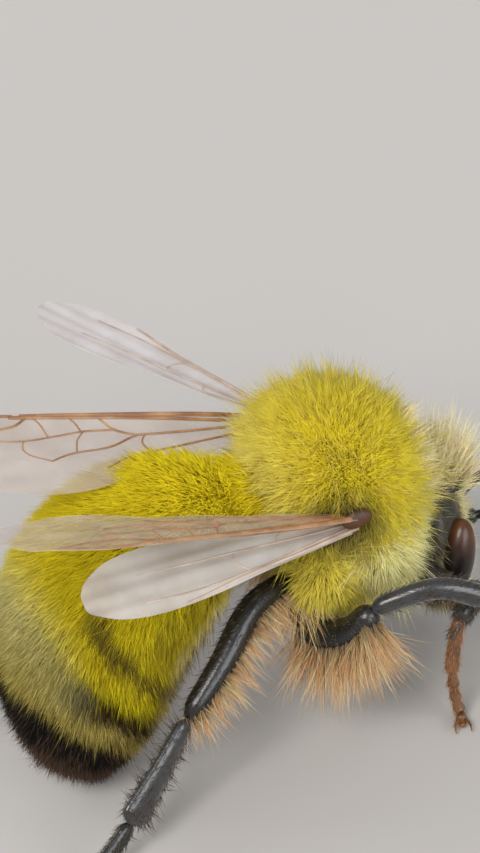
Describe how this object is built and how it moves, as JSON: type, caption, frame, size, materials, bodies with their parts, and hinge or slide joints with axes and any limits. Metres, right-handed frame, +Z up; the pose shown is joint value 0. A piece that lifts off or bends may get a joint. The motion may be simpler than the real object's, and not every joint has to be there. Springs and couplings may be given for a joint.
{
  "type": "bumblebee model",
  "caption": "Life-size still model of a worker bumblebee standing on six feet, with a yellow pile coat, dark bands on a down-curved abdomen and wings held partly open.",
  "frame": {"origin": "on the floor under the middle of the model's outline", "axes": "+X the way the bee's thorax points, towards the head; +Y the bee's left; +Z up"},
  "size_m": [0.017, 0.0142, 0.0109],
  "materials": {
    "yellow_pile": "dense bright yellow pile of fine branched hairs, cream at the collar and orange-tan below",
    "banded_pile": "shorter pile in yellow and brown-black bands, ending in sparse brown-grey hairs",
    "black_shell": "smooth glossy black cuticle with sparse hairs",
    "amber_shell": "satin red-brown cuticle",
    "eye": "faceted dark red-brown compound eye, glossy",
    "wing_membrane": "clear slightly tan membrane with brown raised veins"
  },
  "bodies": {
    "root": {"abdomen_1": "yellow_pile", "abdomen_2": "yellow_pile", "abdomen_3": "banded_pile", "abdomen_4": "banded_pile", "abdomen_5": "banded_pile", "abdomen_6": "banded_pile", "antenna_flagellum_left": "black_shell", "antenna_flagellum_right": "black_shell", "antenna_scape_left": "black_shell", "antenna_scape_right": "black_shell", "eye_left": "eye", "eye_right": "eye", "fore_femur_left": "black_shell", "fore_femur_right": "black_shell", "fore_tarsus_left": "amber_shell", "fore_tarsus_right": "amber_shell", "fore_tibia_left": "black_shell", "fore_tibia_right": "black_shell", "forewing_left": "wing_membrane", "forewing_right": "wing_membrane", "head": "yellow_pile", "hind_femur_left": "black_shell", "hind_femur_right": "black_shell", "hind_tarsus_left": "amber_shell", "hind_tarsus_right": "amber_shell", "hind_tibia_left": "black_shell", "hind_tibia_right": "black_shell", "hindwing_left": "wing_membrane", "hindwing_right": "wing_membrane", "mandible_left": "amber_shell", "mandible_right": "amber_shell", "middle_femur_left": "black_shell", "middle_femur_right": "black_shell", "middle_tarsus_left": "amber_shell", "middle_tarsus_right": "amber_shell", "middle_tibia_left": "black_shell", "middle_tibia_right": "black_shell", "tegula_left": "amber_shell", "tegula_right": "amber_shell", "thorax": "yellow_pile"}
  },
  "joints": []
}
